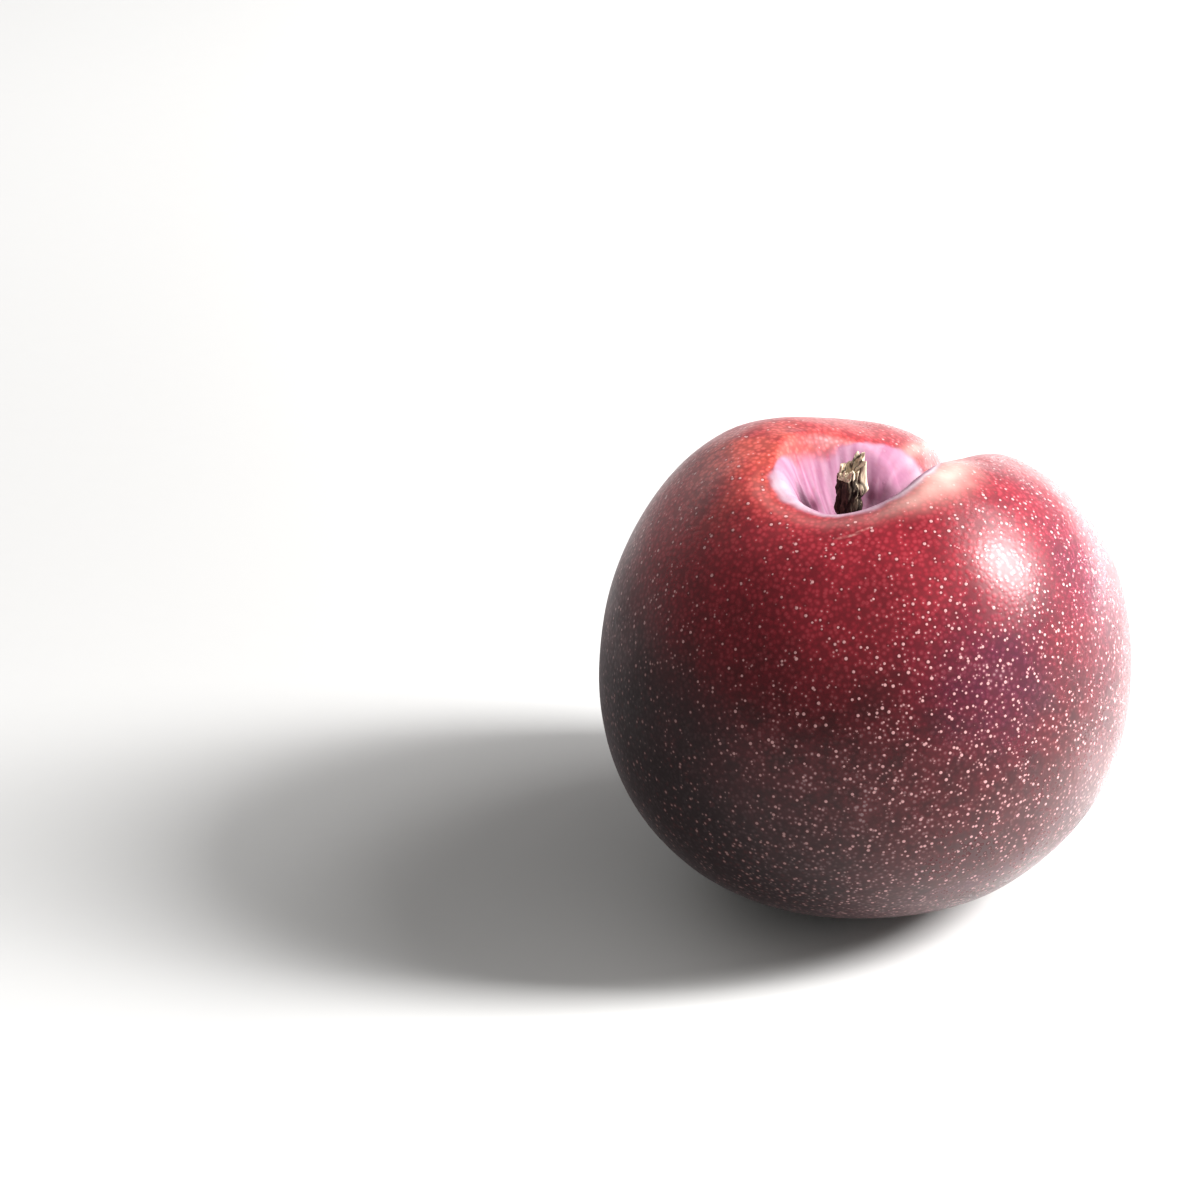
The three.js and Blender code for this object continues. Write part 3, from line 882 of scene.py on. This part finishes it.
def skin_material():
    nodes = Nodes("plum_skin")
    where = nodes.millimetres()
    mottle = nodes.noise(where, MOTTLE_LENGTH, detail=4, roughness=0.6)
    blotch = nodes.noise(where, BLOTCH_LENGTH, detail=5, roughness=0.65)
    pore = nodes.cells(where, GRAIN_SPACING)[0]
    grain = nodes.ramp(pore, [share * GRAIN_SPACING for share in PORE_REACH])
    painted_shade, low = nodes.field("painted_shade"), nodes.field("low")

    # The flesh colours, from the deepest up, and the pores.
    deep = nodes.mix(nodes.ramp(blotch, *MAROON_BLOTCHES), BROWN, MAROON)
    deep = nodes.mix(nodes.ramp(low, *BROWN_LOW_DOWN), deep, BROWN)
    red = nodes.times(nodes.field("red"), nodes.ramp(mottle, *RED_MOTTLE), clamp=True)
    colour = nodes.mix(red, deep, RED)
    # Painted shade: the side that gets little light darkens nearly to black.
    colour = nodes.mix(painted_shade, colour, NEARLY_BLACK)
    purple = nodes.times(nodes.field("purple"), nodes.ramp(mottle, *PURPLE_MOTTLE), clamp=True)
    colour = nodes.mix(purple, colour, PURPLE)
    # Orange blush, and painted light where backlight glows through the top shoulder.
    blush_and_backlight = nodes.times(nodes.field("blush_and_backlight"), nodes.ramp(blotch, *BLUSH_AND_BACKLIGHT_BLOTCHES), clamp=True)
    colour = nodes.mix(blush_and_backlight, colour, ORANGE)
    colour = nodes.mix(grain, colour, NEARLY_BLACK, PORE_DARKNESS)

    # A thin powder lies over the skin and in its pores and in faint wisps; thicker low down it is a
    # painted reflection of the pale table, and it is thinner in the painted shade.
    powder_and_reflection = nodes.times_plus(low, HAZE_LOW_DOWN, HAZE_LEVEL)
    powder_and_reflection = nodes.times_plus(nodes.field("wisps_and_reflection"), nodes.ramp(blotch, *WISP_BLOTCHES), powder_and_reflection)
    powder_and_reflection = nodes.times(powder_and_reflection, nodes.ramp(grain, *HAZE_IN_PORES), clamp=True)
    powder_and_reflection = nodes.times(powder_and_reflection, nodes.times_plus(painted_shade, HAZE_ON_DARK_SIDE, 1.0))
    colour = nodes.mix(powder_and_reflection, colour, PALE_POWDER_AND_REFLECTION)

    # Lenticels, large and small, the large ones with a dark ring.
    density = nodes.field("dots")
    # The lenticels are painted dimmer in the painted shade.
    lenticel = nodes.mix(painted_shade, LENTICEL, LENTICEL_IN_PAINTED_SHADE)
    large, ring = nodes.dots(where, *LARGE_DOTS, LARGE_DOT_SPREAD, density)
    fewer = nodes.times(density, SMALL_DOT_DENSITY)
    small, _ = nodes.dots(where, *SMALL_DOTS, SMALL_DOT_SPREAD, fewer)
    colour = nodes.mix(ring, colour, BROWN, RING_DARKNESS)
    colour = nodes.mix(small, colour, lenticel, SMALL_DOT_STRENGTH)
    colour = nodes.mix(large, colour, lenticel, LARGE_DOT_STRENGTH)

    broken = nodes.ramp(nodes.noise(where, SCRATCH_PATCH_LENGTH), *SCRATCH_PATCHES)
    for scratch in SCRATCHES:
        colour = nodes.mix(nodes.scratch(where, *scratch), colour, LIP_HIGHLIGHT_AND_MARKS, broken)
    # The painted highlight along the lip, and the strip of bloom by the suture.
    colour = nodes.mix(nodes.field("lip"), colour, LIP_HIGHLIGHT_AND_MARKS)

    # The bloom in the stem cavity: streaky, with painted shadow low down by the stem and painted
    # white highlights along its edges.
    patch = nodes.noise(where, BLOOM_PATCH_LENGTH, detail=4, roughness=0.6)
    cover = nodes.times(nodes.field("bloom"), nodes.ramp(patch, *BLOOM_PATCHES), clamp=True)
    streak = nodes.field("streak")
    powder = nodes.mix(nodes.ramp(streak, *DEEP_STREAKS), BLOOM, BLOOM_STREAK)
    powder = nodes.mix(nodes.ramp(streak, *PALE_STREAKS), powder, BLOOM_PALE)
    # Painted shadow low in the cavity.
    powder = nodes.mix(nodes.field("cavity_shadow"), powder, CAVITY_SHADOW_COLOUR)
    # Painted highlights: white glints and a white line along the front edge.
    powder = nodes.mix(nodes.field("glints"), powder, GLINT_WHITE)
    colour = nodes.mix(cover, colour, powder)
    colour = nodes.mix(nodes.field("scar"), colour, SCAR)

    roughness = nodes.ramp(mottle, *WAX_ROUGHNESS)
    for place, rougher in (
        (cover, BLOOM_ROUGHNESS),
        (nodes.field("mouth"), MOUTH_ROUGHNESS),
        (painted_shade, DARK_ROUGHNESS),
        (grain, GRAIN_ROUGHNESS),
    ):
        roughness = nodes.times_plus(place, rougher, roughness, clamp=True)
    relief = nodes.bump(grain, GRAIN_RELIEF, SKIN_BUMP_STRENGTH)
    relief = nodes.bump(large, DOT_RELIEF, SKIN_BUMP_STRENGTH, relief)
    nodes.set(Base_Color=colour, Roughness=roughness, Normal=relief, Specular_IOR_Level=0.24)
    nodes.set(Sheen_Weight=0.1, Sheen_Roughness=0.3, Sheen_Tint=SHEEN)
    return nodes.material


FIBRE_SIZE = (0.16, 0.16, 1.4)  # in the wood's pattern
BARK_PATCH_LENGTH = 1.3
CRACK_DARKNESS = 0.9
FIBRE_RELIEF = 0.08
FIBRE_BUMP_STRENGTH = 0.8
PALE_FIBRES = ((0.45, 0.75), (0.0, 0.7))
BARK_PATCHES = ((0.45, 0.7), (0.0, 0.5))
WOOD_FIBRES = ((0.3, 0.55), (0.3, 1.0))
TORN_EDGE_FIBRES = ((0.3, 0.7), (-0.3, 0.3))
TORN_EDGE = (0.35, 0.65)


def stem_material():
    nodes = Nodes("stem_wood")
    fibres = nodes.noise(nodes.millimetres(FIBRE_SIZE), 1, detail=4, roughness=0.65)
    patches = nodes.noise(nodes.millimetres(), BARK_PATCH_LENGTH)
    bark = nodes.mix(nodes.ramp(fibres, *PALE_FIBRES), BARK, BARK_PALE)
    bark = nodes.mix(nodes.ramp(patches, *BARK_PATCHES), bark, BARK)
    wood = nodes.mix(nodes.ramp(fibres, *WOOD_FIBRES), BARK_PALE, TORN_WOOD)
    ragged = nodes.ramp(fibres, *TORN_EDGE_FIBRES)
    torn = nodes.math("ADD", nodes.field("torn"), ragged, clamp=True)
    colour = nodes.mix(nodes.ramp(torn, TORN_EDGE), bark, wood)
    colour = nodes.mix(nodes.field("cracked"), colour, CRACK, CRACK_DARKNESS)
    relief = nodes.bump(fibres, FIBRE_RELIEF, FIBRE_BUMP_STRENGTH)
    nodes.set(Base_Color=colour, Roughness=0.85, Normal=relief, Specular_IOR_Level=0.25)
    return nodes.material


# ---- Stage, light and camera ----

FLOOR_SIZE = 4000
FLOOR_LEVEL = -0.02
FLOOR_SHADE_PLACE = (-80, 85, 0)  # painted shade: the table is painted darker round here
FLOOR_SHADE_REACH = ((0, 180), (1.0, 0.0))
FLOOR_LIGHT_PLACE = (-10, -64, 0)  # painted light: and painted lighter round here, in the fruit's cast shadow
FLOOR_LIGHT_REACH = ((5, 75), (1.0, 0.0))
FLOOR_GRAIN_LENGTH = 3
FLOOR_GRAIN = (0.3, 0.7)
FLOOR_GRAIN_STRENGTH = 0.04

# Lamps: where each stands and what it points at, both in millimetres, then its size, its power in
# watts and the angle that it spreads over.
LAMPS = {
    "window": ((746, -26, 531), (0, 0, 28), (190, 340), 21.5, 180),
    "curtain": ((590, 160, 670), (0, 0, 28), (400, 380), 5, 180),
    "table_light": ((200, 230, 320), (200, 230, 0), (240, 240), 2.0, 60),
    "table_patch": ((300, 20, 560), (55, 0, 0), (40, 40), 0.22, 8),
}

# The room is dim, with soft glows: the azimuth (from +X towards +Y) and elevation of each, its
# sharpness and its strength.
SKY_COLOUR = (1.0, 0.99, 0.98)
SKY_DIM = 0.27
SKY_GLOWS = (
    ((-20, 8), 6, 0.6),
    ((34, 6), 12, 1.3),
    ((75, 2), 30, 2.0),
    ((128, 25), 14, 1.7),
)


def floor_material():
    nodes = Nodes("pale_table")
    where = nodes.millimetres()
    # Painted shade round one place, broken by a faint grain.
    dim = nodes.ramp(nodes.distance(where, FLOOR_SHADE_PLACE), *FLOOR_SHADE_REACH)
    grain = nodes.ramp(nodes.noise(where, FLOOR_GRAIN_LENGTH), FLOOR_GRAIN)
    dim = nodes.times_plus(grain, FLOOR_GRAIN_STRENGTH, dim, clamp=True)
    colour = nodes.mix(dim, FLOOR, FLOOR_PAINTED_SHADE)
    # Painted light that lifts the fruit's cast shadow.
    bright = nodes.ramp(nodes.distance(where, FLOOR_LIGHT_PLACE), *FLOOR_LIGHT_REACH)
    colour = nodes.mix(bright, colour, FLOOR_PAINTED_LIGHT)
    nodes.set(Base_Color=colour, Roughness=0.6, Specular_IOR_Level=0.2)
    return nodes.material


def make_floor():
    half = FLOOR_SIZE / 2
    corners = [(-half, -half), (half, -half), (half, half), (-half, half)]
    points = [(x, y, FLOOR_LEVEL) for x, y in corners]
    floor = new_piece("table", points, [(0, 1, 2, 3)], floor_material())


def make_lamp(name, place, target, size, power, spread):
    light = bpy.data.lights.new(name, "AREA")
    light.shape = "RECTANGLE"
    light.size, light.size_y = (side * MM for side in size)
    light.energy = power
    light.spread = math.radians(spread)
    lamp = bpy.data.objects.new(name, light)
    lamp.location = Vector(place) * MM
    lamp.rotation_mode = "QUATERNION"
    lamp.rotation_quaternion = (Vector(place) - Vector(target)).to_track_quat("Z", "Y")
    bpy.context.scene.collection.objects.link(lamp)


def direction_to(azimuth, elevation):
    azimuth, elevation = math.radians(azimuth), math.radians(elevation)
    flat = math.cos(elevation)
    return Vector((math.cos(azimuth) * flat, math.sin(azimuth) * flat, math.sin(elevation)))


def make_sky():
    """A dim room with soft glows low down on its bright side, fixed in the world."""
    world = bpy.data.worlds.new("studio")
    world.use_nodes = True
    tree = world.node_tree
    background = tree.nodes["Background"]
    background.inputs["Color"].default_value = (*SKY_COLOUR, 1)
    direction = tree.nodes.new("ShaderNodeTexCoord").outputs["Generated"]

    def combine(operation, *values):
        node = tree.nodes.new("ShaderNodeMath")
        node.operation = operation
        for socket, value in zip(node.inputs, values):
            if isinstance(value, bpy.types.NodeSocket):
                tree.links.new(value, socket)
            else:
                socket.default_value = value
        return node.outputs[0]

    level = SKY_DIM
    for (azimuth, elevation), sharpness, strength in SKY_GLOWS:
        dot = tree.nodes.new("ShaderNodeVectorMath")
        dot.operation = "DOT_PRODUCT"
        dot.inputs[1].default_value = direction_to(azimuth, elevation)
        tree.links.new(direction, dot.inputs[0])
        falling = combine("MULTIPLY_ADD", dot.outputs["Value"], sharpness, -sharpness)
        level = combine("MULTIPLY_ADD", combine("EXPONENT", falling), strength, level)
    tree.links.new(level, background.inputs["Strength"])
    bpy.context.scene.world = world


def make_camera(axis):
    """Places the camera so that the point at AXIS_HEIGHT on the stem cavity's axis lies at
    AXIS_PIXEL."""
    tilt = math.radians(CAMERA_ELEVATION)
    forward = Vector((0, math.cos(tilt), -math.sin(tilt)))
    right = Vector((1, 0, 0))
    up = right.cross(forward)
    across, down = ((pixel - IMAGE_SIZE / 2) * PIXEL_SIZE for pixel in AXIS_PIXEL)
    aim = Vector((axis[0], axis[1], AXIS_HEIGHT))
    data = bpy.data.cameras.new("camera")
    data.sensor_width = SENSOR
    data.lens = SENSOR * CAMERA_DISTANCE / (IMAGE_SIZE * PIXEL_SIZE)
    camera = bpy.data.objects.new("camera", data)
    camera.location = (aim - CAMERA_DISTANCE * forward - across * right + down * up) * MM
    camera.rotation_euler = (math.pi / 2 - tilt, 0, 0)
    bpy.context.scene.collection.objects.link(camera)
    bpy.context.scene.camera = camera


# ---- Assembly ----

fruit, shift = make_fruit(skin_material())
cavity_axis = CAVITY_OFFSET + shift[:2]
cavity_floor = np.array([*cavity_axis, CREST_HEIGHT - CAVITY_DEPTH + shift[2]])
stem = make_stem(stem_material(), cavity_floor)

for piece, node, slot in ((fruit, "plum_fruit", "skin"), (stem, "stem_stub", "stem")):
    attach(piece, "root")
    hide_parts(node)

make_floor()
make_sky()
for name, lamp in LAMPS.items():
    make_lamp(name, *lamp)
make_camera(cavity_axis)

scene = bpy.context.scene
scene.view_settings.view_transform = "Standard"
